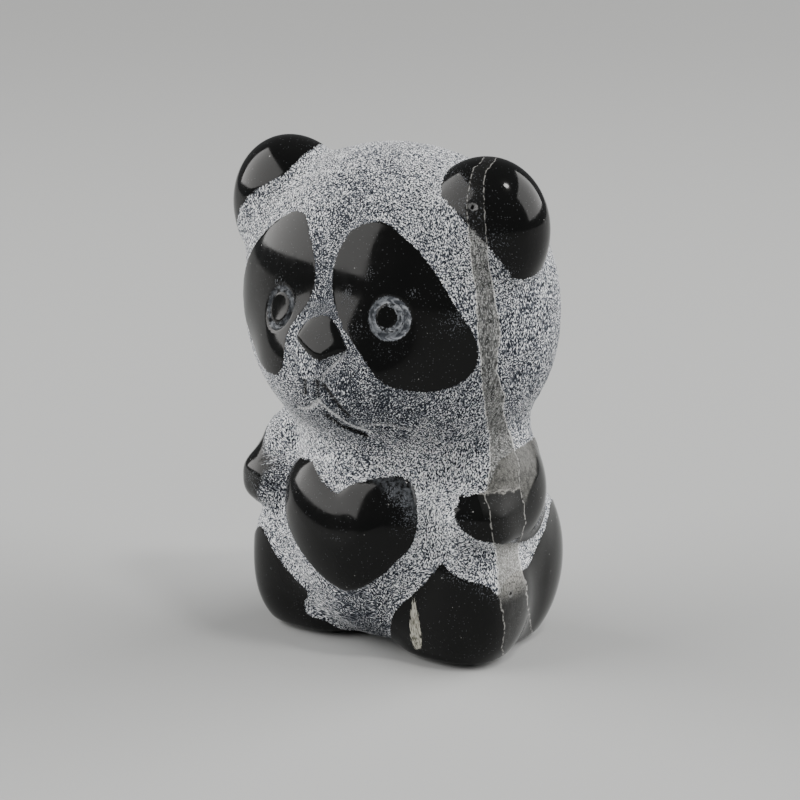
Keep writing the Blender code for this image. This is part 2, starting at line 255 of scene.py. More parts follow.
def squarish(points, centre, half, power, turn=None):
    """Approximate distance to an ellipsoid with squared-off sides."""
    local = points - np.array(centre)
    if turn is not None:
        local = local @ turn
    scaled = np.abs(local / np.array(half)) + OFF_ZERO
    total = (scaled**power).sum(-1)
    length = total**(1.0 / power)
    slope = scaled**(power - 1.0) / np.array(half) * (total**(1.0 / power - 1.0))[..., None]
    return (length - 1.0) / np.maximum(np.sqrt((slope**2).sum(-1)), TINY)


def join(first, second, width):
    """Union of two forms, filleted over a width."""
    mix = np.clip(0.5 + 0.5 * (second - first) / width, 0.0, 1.0)
    return second + (first - second) * mix - width * mix * (1.0 - mix)


def meet(first, second, width):
    """What two forms have in common, with a rounded edge."""
    return -join(-first, -second, width)


def lean(degrees):
    """Turn about Y, which tips a mass sideways."""
    c, s = np.cos(np.radians(degrees)), np.sin(np.radians(degrees))
    return np.array(((c, 0.0, s), (0.0, 1.0, 0.0), (-s, 0.0, c)))


def swing(degrees):
    """Turn about Z, which points a mass round the body."""
    c, s = np.cos(np.radians(degrees)), np.sin(np.radians(degrees))
    return np.array(((c, -s, 0.0), (s, c, 0.0), (0.0, 0.0, 1.0)))


def on_side(centre, side):
    """A paired mass's centre on the left (+1) or right (-1) side."""
    return (side * centre[0], centre[1], centre[2])


def trunk(points):
    """Head, muzzle, body and belly in one."""
    head = squarish(points, HEAD_AT, HEAD_HALF, HEAD_POWER)
    muzzle = ellipsoid(points, MUZZLE_AT, MUZZLE_HALF)
    body = squarish(points, BODY_AT, BODY_HALF, BODY_POWER)
    belly = ellipsoid(points, BELLY_AT, BELLY_HALF)
    return join(join(head, muzzle, MUZZLE_BLEND), join(body, belly, BELLY_BLEND), NECK_BLEND)


def ear(points, side):
    return ellipsoid(points, on_side(EAR_AT, side), EAR_HALF, lean(side * EAR_LEAN))


def leg(points, side):
    foot = squarish(points, on_side(FOOT_AT, side), FOOT_HALF, FOOT_POWER)
    haunch = ellipsoid(points, on_side(HAUNCH_AT, side), HAUNCH_HALF)
    return join(foot, haunch, LEG_BLEND)


def arm(points, side):
    upper_turn = lean(side * UPPER_ARM_LEAN)
    upper = ellipsoid(points, on_side(UPPER_ARM_AT, side), UPPER_ARM_HALF, upper_turn)
    fore_turn = swing(side * FOREARM_TURN)
    fore = squarish(points, on_side(FOREARM_AT, side), FOREARM_HALF, FOREARM_POWER, fore_turn)
    return join(upper, fore, ELBOW_BLEND)


def panda(points):
    """The whole figure, cut flat at its base."""
    form = trunk(points)
    for side in (1, -1):
        for limb in (ear, leg, arm):
            form = join(form, limb(points, side), LIMB_BLEND)
    return meet(form, -points[..., 2], BASE_EDGE)


def smooth_outline(corners, closed=True):
    """Points along a Catmull-Rom curve through the corners."""
    knots = np.array(corners, float)
    if closed:
        knots = np.vstack((knots[-1:], knots, knots[:2]))
    else:
        knots = np.vstack((knots[:1], knots, knots[-1:]))
    t = np.arange(CURVE_STEPS)[:, None] / CURVE_STEPS
    spans = []
    for a, b, c, d in zip(knots, knots[1:], knots[2:], knots[3:]):
        bend = (2 * a - 5 * b + 4 * c - d) * t**2 + (3 * b - a - 3 * c + d) * t**3
        spans.append(b + 0.5 * ((c - a) * t + bend))
    if not closed:
        spans.append(knots[-2:-1])
    return np.vstack(spans)


def distance_to_line(places, line):
    """Distance to a run of straight pieces, and the side of the line: 1 left, -1 right."""
    nearest = np.full(len(places), np.inf)
    side = np.ones(len(places))
    for start, end in zip(line, line[1:]):
        along = end - start
        offset = places - start
        share = np.clip(offset @ along / max(along @ along, TINY), 0.0, 1.0)
        gap = offset - share[:, None] * along
        away = np.sqrt((gap**2).sum(-1))
        turn = np.sign(along[0] * offset[:, 1] - along[1] * offset[:, 0])
        side = np.where(away < nearest, turn, side)
        nearest = np.minimum(nearest, away)
    return nearest, side


def depth_inside(places, outline):
    """Distance in from a closed outline on the chart, negative outside."""
    ring = np.vstack((outline, outline[:1]))
    depth = np.full(len(places), -CHART_MARGIN)
    low, high = ring.min(0) - CHART_MARGIN, ring.max(0) + CHART_MARGIN
    near = ((places > low) & (places < high)).all(-1)
    spots = places[near]
    inside = np.zeros(len(spots), bool)
    for (x0, y0), (x1, y1) in zip(ring, ring[1:]):
        if y0 == y1:
            continue
        crosses = (spots[:, 1] < y0) != (spots[:, 1] < y1)
        inside ^= crosses & (spots[:, 0] < x0 + (spots[:, 1] - y0) * (x1 - x0) / (y1 - y0))
    away = distance_to_line(spots, ring)[0]
    depth[near] = np.where(inside, away, np.maximum(-away, -CHART_MARGIN))
    return depth


def chart(corners, radius):
    """(degrees, height) pairs as lengths on a drum of the given radius."""
    table = np.array(corners, float)
    return np.column_stack((np.radians(table[:, 0]) * radius, table[:, 1]))


def chart_points(points, radius):
    """Points on the same drum as lengths round it and heights."""
    angle = np.arctan2(points[:, 0], -points[:, 1])
    return np.column_stack((angle * radius, points[:, 2]))


def away_from(points, spot, radius):
    """Distance on the chart from a spot given as (degrees, height)."""
    return np.sqrt(((chart_points(points, radius) - chart((spot,), radius))**2).sum(-1))


def soft_spot(points, spot, size, radius):
    """1 at a spot on the chart, falling off smoothly over a size."""
    return np.exp(-(away_from(points, spot, radius) / size)**2)


def field_depth(points, corners, radius):
    outline = smooth_outline(chart(corners, radius))
    return depth_inside(chart_points(points, radius), outline)


def ear_depth(points, side):
    """Depth inside an ear's polished field."""
    places = chart_points(points * np.array((side, 1, 1)), HEAD_RADIUS)
    start = chart((EAR_LINE_AT,), HEAD_RADIUS)[0]
    run = np.array((np.radians(EAR_LINE_SLOPE[0]) * HEAD_RADIUS, EAR_LINE_SLOPE[1]))
    across = np.array((-run[1], run[0])) / np.hypot(*run)
    bulge = trunk(points) - ear(points, side) - EAR_MARGIN
    return np.minimum(bulge, (places - start) @ across)


def ease(amount):
    """Smooth step from 0 to 1."""
    t = np.clip(amount, 0.0, 1.0)
    return t * t * (3.0 - 2.0 * t)


def cushion(depth, roundness):
    """Quarter-round profile: 0 at the edge, 1 where the edge's rounding ends."""
    t = np.clip(depth / roundness, 0.0, 1.0)
    return np.sqrt(1.0 - (1.0 - t)**2)


def dome(depth, roundness):
    """Softer profile: 0 at the edge, 1 where the dome levels out."""
    return 1.0 - (1.0 - np.clip(depth / roundness, 0.0, 1.0))**2


def groove(away, half_width):
    """1 on the middle of a cut, 0 past its sides."""
    return 1.0 - ease(away / half_width)


def lumps(points, size):
    """Smooth noise between -1 and 1 with lumps of the given size, for points in millimetres."""
    scaled = (points / size).tolist()
    return np.array([noise.noise(Vector(place)) for place in scaled])


def nearest_cut(points, lines):
    """Signed distance to the nearest of some cuts, and how surely a place is beside one."""
    places = chart_points(points, HEAD_RADIUS)
    best = np.full(len(places), np.inf)
    signed = np.full(len(places), CHART_MARGIN)
    for line in lines:
        run = smooth_outline(chart(line, HEAD_RADIUS), closed=False)
        away, side = distance_to_line(places, run)
        past = np.minimum((places - run[0]) @ (run[1] - run[0]),
                          (places - run[-1]) @ (run[-2] - run[-1]))
        offset = np.where(past > 0, away * side, away)
        signed = np.where(away < best, offset, signed)
        best = np.minimum(best, away)
    return signed, ease((CUT_REACH - best) / CUT_FADE)


def survey_fields(points):
    """Depth inside the nose, the heart and all polished fields, in shares."""
    nose = field_depth(points, NOSE_EDGE, HEAD_RADIUS)
    heart = field_depth(points, HEART_EDGE, BODY_RADIUS)
    patches = [field_depth(points, edge, HEAD_RADIUS) for edge in (PATCH_LEFT, PATCH_RIGHT)]
    limbs = [field_depth(points, edge, BODY_RADIUS)
             for edge in (ARM_LEFT, ARM_RIGHT, LEG_LEFT, LEG_RIGHT)]
    ears = [ear_depth(points, side) for side in (1, -1)]
    polish = np.max([nose, heart] + patches + limbs + ears, axis=0)
    return {"nose": nose, "heart": heart, "polish": polish}


def survey_cuts(points):
    """Depth inside the eye rings, and distance from the cuts and pits, in shares."""
    found = {"ring": np.full(len(points), -CHART_MARGIN)}
    for outer_at, outer, inner_at, inner in RINGS:
        band = np.minimum(outer - away_from(points, outer_at, HEAD_RADIUS),
                          away_from(points, inner_at, HEAD_RADIUS) - inner)
        found["ring"] = np.maximum(found["ring"], band)
    for name, lines, _ in CUTS:
        found[name], found[name + "_near"] = nearest_cut(points, lines)
    found["pit"] = np.full(len(points), CHART_MARGIN)
    for pit in PITS:
        found["pit"] = np.minimum(found["pit"], away_from(points, pit, HEAD_RADIUS))
    return found


def survey_marks(points):
    """Depth inside the inclusion and bruise, the strength of scuffs, and the painted light and shade
    of the fur.
    """
    found = {"inclusion": field_depth(points, INCLUSION, BODY_RADIUS),
             "bruise": field_depth(points, BRUISE, BODY_RADIUS),
             "scuff": np.zeros(len(points)),
             "painted_fur_shading": np.zeros(len(points))}
    for angle, height, size, strength in SCUFFS:
        radius = HEAD_RADIUS if height > HEAD_BOTTOM else BODY_RADIUS
        spot = soft_spot(points, (angle, height), size, radius)
        found["scuff"] = np.maximum(found["scuff"], strength * spot)
    # Painted light and shade on the fur, spot by spot.
    for angle, height, size, amount in PAINTED_FUR_LIGHT_AND_SHADE:
        found["painted_fur_shading"] += amount * soft_spot(points, (angle, height), size, HEAD_RADIUS)
    return found


def relief(points, found):
    """How far the skin stands out from the joined masses."""
    height = FIELD_STEP * ease(1.0 + found["polish"] / FIELD_ROUND)
    height += HEART_LIP * cushion(found["heart"], HEART_LIP_ROUND)
    height += HEART_DOME * dome(found["heart"], HEART_DOME_ROUND)
    height += NOSE_DOME * dome(found["nose"], NOSE_DOME_ROUND)
    lowness = np.clip((NOSE_HIGH - points[:, 2]) / (NOSE_HIGH - NOSE_LOW), 0.0, 1.0)
    height += NOSE_TIP * lowness * cushion(found["nose"], NOSE_TIP_ROUND)
    height -= RING_DEPTH * ease(found["ring"] / RING_SIDE)
    for name, _, depth in CUTS:
        cut = groove(np.abs(found[name]), GROOVE_HALF_WIDTH)
        height -= GROOVE_DEPTH * depth * cut * found[name + "_near"]
    height -= PIT_DEPTH * groove(found["pit"], PIT_RADIUS)

    # The fur's unevenness fades out across the edge of a field.
    rough = sum(tall * lumps(points * MM, size) for size, tall in zip(LUMP_SIZES, LUMP_HEIGHTS))
    fur = 1.0 - ease(found["polish"] / FIELD_ROUND + 0.5)
    height += rough / MM * fur
    return height * ease(points[:, 2] / BASE_EDGE)


def box_skin(across, high):
    """Lattice corners and quads of a box's skin, the quads facing out."""
    shape = (across + 1, across + 1, high + 1)
    skin = np.zeros(shape, bool)
    for axis in range(3):
        for end in (0, -1):
            np.moveaxis(skin, axis, 0)[end] = True
    number = np.cumsum(skin).reshape(shape) - 1
    quads = []
    for axis in range(3):
        for end in (0, -1):
            sheet = np.moveaxis(number, axis, 0)[end]
            corners = [sheet[:-1, :-1], sheet[1:, :-1], sheet[1:, 1:], sheet[:-1, 1:]]
            if (end == 0) != (axis == 1):
                corners.reverse()
            quads.append(np.stack(corners, -1).reshape(-1, 4))
    return np.argwhere(skin) / np.array((across, across, high)), np.vstack(quads)


def reach(starts, ways, level):
    """Where each ray meets the surface on which the form has the given level."""
    near = np.zeros(len(starts))
    far = np.full(len(starts), RAY_REACH)
    for _ in range(HALVINGS):
        middle = 0.5 * (near + far)
        inside = panda(starts + middle[:, None] * ways) < level
        near = np.where(inside, middle, near)
        far = np.where(inside, far, middle)
    return starts + near[:, None] * ways


def vein_offsets(points):
    """Signed distances from the vein's two faces."""
    turn = np.radians(VEIN_TURN)
    across = points[:, 0] * np.cos(turn) + points[:, 1] * np.sin(turn)
    faces = []
    for face in (VEIN_LEFT, VEIN_RIGHT):
        heights, offsets = np.array(face).T
        faces.append(across - np.interp(points[:, 2], heights, offsets))
    return faces


def carved_skin():
    """Points and quads of the carving in shares, and what was found at each point."""
    lattice, quads = box_skin(CELLS_ACROSS, CELLS_HIGH)
    # Equal angles between neighbouring rays keep the cells alike in size.
    ways = np.tan((lattice - 0.5) * np.pi / 2)
    ways /= np.sqrt((ways**2).sum(-1))[:, None]
    starts = np.zeros_like(ways)
    starts[:, 2] = AXIS_LOW + (AXIS_HIGH - AXIS_LOW) * lattice[:, 2]
    smooth = reach(starts, ways, 0.0)
    found = {**survey_fields(smooth), **survey_cuts(smooth), **survey_marks(smooth)}
    carved = reach(starts, ways, relief(smooth, found))
    carved[carved[:, 2] < BASE_FLATNESS, 2] = 0.0
    found["vein_left"], found["vein_right"] = vein_offsets(carved)
    return carved, quads, found


def carving():
    """The panda as one mesh, with what its material needs to know kept at each point."""
    carved, quads, found = carved_skin()
    mesh = bpy.data.meshes.new("panda_stone")
    mesh.from_pydata((carved * SHARE).tolist(), [], quads.tolist())
    for name in KEPT_LENGTHS + KEPT_STRENGTHS:
        scale = MM if name in KEPT_LENGTHS else 1.0
        layer = mesh.attributes.new(name, "FLOAT", "POINT")
        layer.data.foreach_set("value", (found[name] * scale).astype(np.float32))
    mesh.shade_smooth()
    mesh.update()
    piece = bpy.data.objects.new("panda_stone", mesh)
    bpy.context.collection.objects.link(piece)
    return piece


class Web:
    """Short calls that add and join the nodes of one material."""

    def __init__(self, name):
        self.material = bpy.data.materials.new(name)
        self.material.use_nodes = True
        self.tree = self.material.node_tree
        self.tree.nodes.clear()

    def feed(self, socket, value):
        if isinstance(value, bpy.types.NodeSocket):
            self.tree.links.new(value, socket)
        else:
            socket.default_value = value

    def add(self, kind, inputs=(), **settings):
        node = self.tree.nodes.new(kind)
        for key, value in settings.items():
            setattr(node, key, value)
        for key, value in dict(inputs).items():
            self.feed(node.inputs[key], value)
        return node

    def math(self, operation, *values):
        return self.add("ShaderNodeMath", enumerate(values), operation=operation).outputs[0]

    def vector(self, operation, *values):
        return self.add("ShaderNodeVectorMath", enumerate(values), operation=operation).outputs[0]

    def chain(self, operation, first, *others):
        """One operation on two or more values in turn."""
        for value in others:
            first = self.math(operation, first, value)
        return first

    def plus(self, *values):
        return self.chain("ADD", *values)

    def times(self, *values):
        return self.chain("MULTIPLY", *values)

    def most(self, *values):
        return self.chain("MAXIMUM", *values)

    def ripple(self, value, size):
        """A noise, which lies about 0.5, turned into one of the given size about 0."""
        return self.times(self.math("SUBTRACT", value, 0.5), size)

    def step(self, value, low, high, start=0.0, end=1.0):
        """Smooth step of a value between two limits."""
        inputs = {"Value": value, "From Min": low, "From Max": high, "To Min": start, "To Max": end}
        node = self.add("ShaderNodeMapRange", inputs, interpolation_type="SMOOTHSTEP")
        return node.outputs[0]

    def within(self, value, low, full, fading, high):
        """1 between two limits of a value, with a smooth step at each."""
        return self.times(self.step(value, low, full), self.step(value, high, fading))

    def line(self, away, outer, inner):
        """1 where a signed distance is near 0."""
        return self.step(self.math("ABSOLUTE", away), outer, inner)

    def blend(self, share, first, second):
        """A number between two others."""
        node = self.add("ShaderNodeMix", {0: share, 2: first, 3: second}, data_type="FLOAT")
        return node.outputs[0]

    def tint(self, share, first, second):
        """A colour between two others."""
        node = self.add("ShaderNodeMix", {0: share, 6: first, 7: second}, data_type="RGBA")
        return node.outputs[2]

    def noise(self, place, scale, detail, roughness):
        inputs = {"Vector": place, "Scale": scale, "Detail": detail, "Roughness": roughness}
        return self.add("ShaderNodeTexNoise", inputs).outputs[0]

    def long_noise(self, place, turn, scales, detail, roughness):
        """Noise whose grains are turned, and drawn out along the axis with the least scale."""
        inputs = {"Vector": place, "Rotation": turn, "Scale": scales}
        mapping = self.add("ShaderNodeMapping", inputs)
        return self.noise(mapping.outputs[0], 1.0, detail, roughness)

    def cells(self, place, scale):
        """Scattered cells: distance from the cell's middle, and its random red and green."""
        node = self.add("ShaderNodeTexVoronoi", {"Vector": place, "Scale": scale})
        split = self.add("ShaderNodeSeparateColor", {0: node.outputs["Color"]})
        return node.outputs["Distance"], split.outputs[0], split.outputs[1]

    def kept(self, name):
        """A value kept at each point of the mesh."""
        return self.add("ShaderNodeAttribute", attribute_name=name).outputs["Fac"]

    def finish(self, looks):
        """The material, with one shader as its surface."""
        shader = self.add("ShaderNodeBsdfPrincipled", looks)
        self.add("ShaderNodeOutputMaterial", {"Surface": shader.outputs[0]})
        return self.material


# Noises of the stone: grains per millimetre, detail and roughness. Long grains have a turn and
# three scales instead of one.
FINE = (4.2, 2.0, 0.6)
MEDIUM = (1.1, 1.0, 0.5)
BROAD = (0.16, 1.0, 0.5)
FUR_PATCHES = (0.45, 2.0, 0.5)
STROKE_AREAS = (0.22, 0.0, 0.5)
EVEN_STROKES = (5.4, 1.0, 0.6)
RINGWISE_STROKES = ((0, 0, 0.25), (6.0, 3.0, 5.4), 1.0, 0.6)
SLANTING_STROKES = ((0.5, 0.8, 0.4), (5.8, 5.8, 3.2), 1.0, 0.6)
VEIN_STREAKS = ((0.1, 0.25, 0), (2.6, 2.6, 0.7), 3.0, 0.65)
LINE_BREAKS = (2.3, 2.0, 0.5)
SMOKE = (1.4, 3.0, 0.65)
FIBRES = ((0.2, 0.0, 0.0), (5.0, 5.0, 0.8), 2.0, 0.6)
RING_SCRATCHES = (1.0, 2.0, 0.65)
SHEEN = (0.8, 3.0, 0.5)
SPECK_SCALE = 1.15
DUST_SCALE = 4.2

# Colours of the fur and of what crosses it.
FUR_GAP = (0.013, 0.016, 0.023, 1)
FUR_GREY = (0.165, 0.18, 0.21, 1)
FUR_TIP = (0.95, 0.96, 0.975, 1)
VEIN_DARK = (0.036, 0.037, 0.035, 1)
VEIN_GREY = (0.215, 0.216, 0.207, 1)
VEIN_TIP = (0.68, 0.675, 0.65, 1)
VEIN_FOOT = (0.50, 0.49, 0.46, 1)
SCORED_CUT = (0.76, 0.77, 0.78, 1)
# Dark of the mouth's cut, also used as the painted shade of the folds.
DARK_CUT_AND_FOLD_SHADE = (0.016, 0.015, 0.014, 1)
FUR_LINE = (0.74, 0.735, 0.71, 1)

# Colours of the polished stone and its marks.
BLACK = (0.0042, 0.0044, 0.0044, 1)
BLACK_PALER = (0.0072, 0.0074, 0.0072, 1)
BLACK_VEIN = (0.034, 0.034, 0.033, 1)
SPECK = (0.30, 0.30, 0.29, 1)
DUST = (0.24, 0.25, 0.27, 1)
MATT_DARK = (0.05, 0.05, 0.047, 1)
MATT_GREY = (0.15, 0.148, 0.138, 1)
MATT_TIP = (0.5, 0.49, 0.46, 1)
LEDGE = (0.36, 0.35, 0.33, 1)
BLACK_LINE = (0.34, 0.335, 0.32, 1)
BRUISE_GREY = (0.11, 0.118, 0.13, 1)
CREAM_DARK = (0.12, 0.116, 0.09, 1)
CREAM = (0.56, 0.545, 0.47, 1)
NICK = (0.22, 0.235, 0.265, 1)
RING_DARK = (0.072, 0.079, 0.092, 1)
RING_GREY = (0.40, 0.42, 0.45, 1)
PIT_RIM = (0.16, 0.16, 0.16, 1)
PIT_FLOOR = (0.003, 0.003, 0.003, 1)

# The fur's strokes: the radius at which angles round the face become lengths, a shift that keeps
# the even grains apart from the fine noise, and the noise values at which one kind gives way to
# the next. Above the grain's limits the stroke is grey, and above the tips' limits white.
STROKE_RADIUS = 18.0
EVEN_SHIFT = (7.0, 3.0, 5.0)
SLANTING_TO_RINGWISE = (0.42, 0.5)
RINGWISE_TO_EVEN = (0.54, 0.62)
PATCHINESS = 0.09
GRAIN_LIMITS = (0.39, 0.52)
TIP_LIMITS = (0.49, 0.61)

# Edges of the fields: sizes of their chips, and the depths where polish starts and is full. In
# the crease beside the right arm, where the skin runs edge on, both are softer.
FINE_CHIPS = 0.6
MEDIUM_CHIPS = 0.35
CREASE_ACROSS = (-10.0, -12.0)
CREASE_HEIGHTS = (17.5, 19.0, 26.0, 27.5)
CREASE_CHIPS = 0.25
POLISH_STARTS = (-0.02, -0.34)
POLISH_FULL = (0.05, 0.42)

# The vein: how far its faces waver, the steps across them, and the half widths of its lines.
LEFT_WAVER = (-0.25, 0.25)
RIGHT_WAVER = (-0.2, 0.2)
LEFT_STEP = (-0.1, 0.1)
RIGHT_STEP = (0.1, -0.1)
LEFT_NEIGHBOUR = (-1.2, -0.8)
RIGHT_NEIGHBOUR = (0.15, -0.15)
LEFT_LINE = (0.11, 0.03)
RIGHT_LINE = (0.10, 0.03)
LINE_GAPS = (0.36, 0.54)

# Zones along the vein, by height in millimetres: matt above the forearm, blunt on it, pale where
# it runs out on the leg, and a matt strip beside it that widens upwards. The ledge is a line.
MATT_HEIGHTS = (25.3, 25.9, 32.0, 33.0)
BLUNT_HEIGHTS = (22.0, 23.5, 25.3, 25.9)
FADED_HEIGHTS = (9.5, 13.5, 15.5, 16.5)
STRIP_NARROWING = (27.0, 23.5, 0.0, 1.7)
STRIP_OUTSIDE = (2.3, 1.8)
STRIP_INSIDE = (0.0, 0.2)
STRIP_START = (23.0, 24.0)
STRIP_END = (33.0, 31.0, 0.0, 0.75)
LEDGE_HEIGHT = 26.2
LEDGE_WAVER = 1.2
LEDGE_EDGE = (0.22, 0.05)

# The vein's colours: the streaks, heights or noise at which each starts and is full.
VEIN_STREAK_LIMITS = (0.36, 0.64)
MATT_STREAK_LIMITS = (0.34, 0.66)
GLASSY_STREAKS = (0.3, 0.7, 0.45, 1.0)
GLASSY_HEIGHTS = (5.0, 15.0, 1.0, 0.3)
VEIN_FOOT_HEIGHTS = (20.5, 17.0, 0.0, 0.32)
LEDGE_GAPS = (0.36, 0.56)

# Half widths at which the colour of each kind of cut ends and is full, the lobes' paleness
# beside the lips', and how strokes and noise break the cuts and the folds' painted shade up.
CUT_EDGES = {"lip": (0.42, 0.10), "lobe": (0.34, 0.03), "fold_shade": (0.44, 0.1), "mouth": (0.66, 0.40)}
LOBE_SHARE = 0.42
SCORED_STROKES = (0.36, 0.56, 0.25, 1.0)
FOLD_SHADE_PATCHES = (0.3, 0.6, 0.6, 0.95)

# The bruise, the inclusion and the scuffs: where each starts and is full, how far the
# inclusion's edge frays, and how much a scuff adds to the strokes that become its nicks.
SMOKE_LIMITS = (0.36, 0.66)
BRUISE_EDGE = (-0.5, 1.3)
FRAYING = 1.1
CREAM_EDGE = (-0.04, 0.14)
CREAM_FIBRES = (0.38, 0.6)
SCUFF_ADDS = 0.15
SCUFF_LIMITS = (0.05, 0.3)
NICK_LIMITS = (0.66, 0.74)

# The eye rings: how far their edges waver, where they start and are full, the patches of the
# right one, and the scratches along them.
RING_WAVER = 0.5
RING_EDGE = (-0.05, 0.16)
RIGHT_SIDE = (0.0, -1.0)
RIGHT_RING_PATCHES = (0.3, 0.56, 0.12, 0.68)
SCRATCH_SCALES = (1.3, 1.3, 1.3)
SCRATCHES_ACROSS = 4.0
SCRATCH_LIMITS = (0.36, 0.68)

# Specks and dust: sizes of the specks, edge of a mote, how thick the dust lies in broad areas
# and in the vein, how much that adds to a mote's chance, and how far a mote covers the stone.
SPECK_SIZES = (0.72, 1.0, 0.0, 0.12)
DUST_EDGE = (0.38, 0.15)
DUSTY_AREAS = (0.4, 0.7, 0.12, 0.6)
DUST_IN_VEIN = 0.95
DUST_CHANCE = 0.34
DUST_COVER = 0.24

# Pits, by distance from the middle: the rim's ring, and the dark inside.
PIT_RIM_REACH = (0.26, 0.36, 0.44, 0.54)
PIT_INSIDE = (0.34, 0.24)

# How far each colour covers what lies beneath it.
COVERS = {"vein": 0.84, "vein_tip": 0.3, "scored": 0.92, "dark": 0.94, "fur_line": 0.8,
          "matt": 0.9, "matt_tip": 0.2, "faded": 0.5, "ledge": 0.7, "black_line": 0.7,
          "bruise": 0.85, "cream": 0.9, "nicks": 0.4, "pit_rim": 0.75}

# Surface: the index of refraction, the roughness of the fur, of ground spots and of the polish,
# and how far the marks and the matt vein dull it.
REFRACTION = 1.25
FUR_ROUGHNESS = 0.8
GROUND_ROUGHNESS = 0.6
SHEEN_RANGE = (0.3, 0.7, 0.07, 0.13)
NICKS_DULL = 0.7
CREAM_DULLS = 0.6
MATT_DULLS = 0.8

# Fine unevenness: its strength and depth in metres, how much of the fine noise shows in ground
# spots, and how far the rings sink.
BUMP_STRENGTH = 0.6
BUMP_DEPTH = 0.00008
GROUND_HEIGHT = 0.8
RING_SINK = (0.0, 0.6, 0.0, -8.0)


class Stone(Web):
    """The black stone: polished fields, ground fur, vein and marks. Lengths are millimetres."""

    def __init__(self):
        super().__init__("black_stone_carved")
        metres = self.add("ShaderNodeTexCoord").outputs["Object"]
        self.place = self.vector("MULTIPLY", metres, (MM_PER_M, MM_PER_M, MM_PER_M))
        split = self.add("ShaderNodeSeparateXYZ", {0: self.place})
        self.across, self.deep, self.tall = split.outputs
        self.fine = self.noise(self.place, *FINE)
        self.medium = self.noise(self.place, *MEDIUM)
        self.broad = self.noise(self.place, *BROAD)
        self.find_fur()
        self.find_fields()
        self.find_vein()
        self.find_matt_zones()
        self.find_marks()
        self.find_rings()

    def fur_strokes(self):
        """Grains of the ground fur, 0 dark to 1 pale: short strokes that run round the face."""
        up = self.math("SUBTRACT", self.tall, HEAD_AT[2] * MM)
        out = self.math("SQRT", self.plus(self.times(self.across, self.across), self.times(up, up)))
        around = self.times(self.math("ARCTAN2", self.across, up), STROKE_RADIUS)
        flow = self.add("ShaderNodeCombineXYZ", {0: out, 1: around, 2: self.deep}).outputs[0]
        ringwise = self.long_noise(flow, *RINGWISE_STROKES)
        slanting = self.long_noise(self.place, *SLANTING_STROKES)
        even = self.noise(self.vector("ADD", self.place, EVEN_SHIFT), *EVEN_STROKES)
        choice = self.noise(self.place, *STROKE_AREAS)
        strokes = self.blend(self.step(choice, *SLANTING_TO_RINGWISE), slanting, ringwise)
        return self.blend(self.step(choice, *RINGWISE_TO_EVEN), strokes, even)

    def find_fur(self):
        """The fur's strokes, and where they are grey and white."""
        self.strokes = self.fur_strokes()
        patchy = self.ripple(self.noise(self.place, *FUR_PATCHES), PATCHINESS)
        # The strokes show paler or darker where light and shade are painted on the fur.
        shown = self.plus(self.strokes, self.plus(patchy, self.kept("painted_fur_shading")))
        self.grain = self.step(shown, *GRAIN_LIMITS)
        self.tips = self.step(shown, *TIP_LIMITS)

    def find_fields(self):
        """Where the stone is polished, up to the chipped edges of the fields."""
        chips = self.plus(self.ripple(self.fine, FINE_CHIPS), self.ripple(self.medium, MEDIUM_CHIPS))
        crease = self.times(self.step(self.across, *CREASE_ACROSS),
                            self.within(self.tall, *CREASE_HEIGHTS))
        self.ragged = self.times(chips, self.blend(crease, 1.0, CREASE_CHIPS))
        edge = self.plus(self.kept("polish"), self.ragged)
        starts = self.blend(crease, *POLISH_STARTS)
        self.field = self.step(edge, starts, self.blend(crease, *POLISH_FULL))

    def find_vein(self):
        """The vein: its wavering faces, its inside and neighbourhood, streaks and edge lines."""
        self.left = self.plus(self.kept("vein_left"), self.blend(self.medium, *LEFT_WAVER))
        self.right = self.plus(self.kept("vein_right"), self.blend(self.medium, *RIGHT_WAVER))
        self.in_vein = self.times(self.step(self.left, *LEFT_STEP), self.step(self.right, *RIGHT_STEP))
        self.by_vein = self.times(self.step(self.left, *LEFT_NEIGHBOUR),
                                  self.step(self.right, *RIGHT_NEIGHBOUR))
        self.streaks = self.long_noise(self.place, *VEIN_STREAKS)
        lines = self.most(self.line(self.left, *LEFT_LINE), self.line(self.right, *RIGHT_LINE))
        unbroken = self.step(self.noise(self.place, *LINE_BREAKS), *LINE_GAPS)
        self.lines = self.times(lines, unbroken)

    def find_matt_zones(self):
        """Where the vein dulls the polish of the arm and leg."""
        self.faded = self.times(self.in_vein, self.within(self.tall, *FADED_HEIGHTS))
        self.blunt = self.times(self.within(self.tall, *BLUNT_HEIGHTS), self.by_vein)
        above_arm = self.times(self.within(self.tall, *MATT_HEIGHTS), self.by_vein)
        away = self.plus(self.right, self.step(self.tall, *STRIP_NARROWING))
        strip = self.times(self.step(away, *STRIP_OUTSIDE), self.step(self.right, *STRIP_INSIDE),
                           self.step(self.tall, *STRIP_START), self.step(self.tall, *STRIP_END))
        self.matt = self.most(above_arm, self.faded, strip)

    def find_marks(self):
        """The smoky bruise, the fibrous inclusion, and the nicks of the scuffs."""
        smoke = self.step(self.noise(self.place, *SMOKE), *SMOKE_LIMITS)
        bruised = self.step(self.plus(self.kept("bruise"), self.ragged), *BRUISE_EDGE)
        self.bruise = self.times(bruised, smoke)
        self.fibres = self.long_noise(self.place, *FIBRES)
        frayed = self.plus(self.kept("inclusion"), self.ripple(self.fibres, FRAYING))
        self.cream = self.step(frayed, *CREAM_EDGE)
        scuff = self.kept("scuff")
        scratched = self.step(self.plus(self.strokes, self.times(scuff, SCUFF_ADDS)), *NICK_LIMITS)
        self.nicks = self.times(scratched, self.step(scuff, *SCUFF_LIMITS))

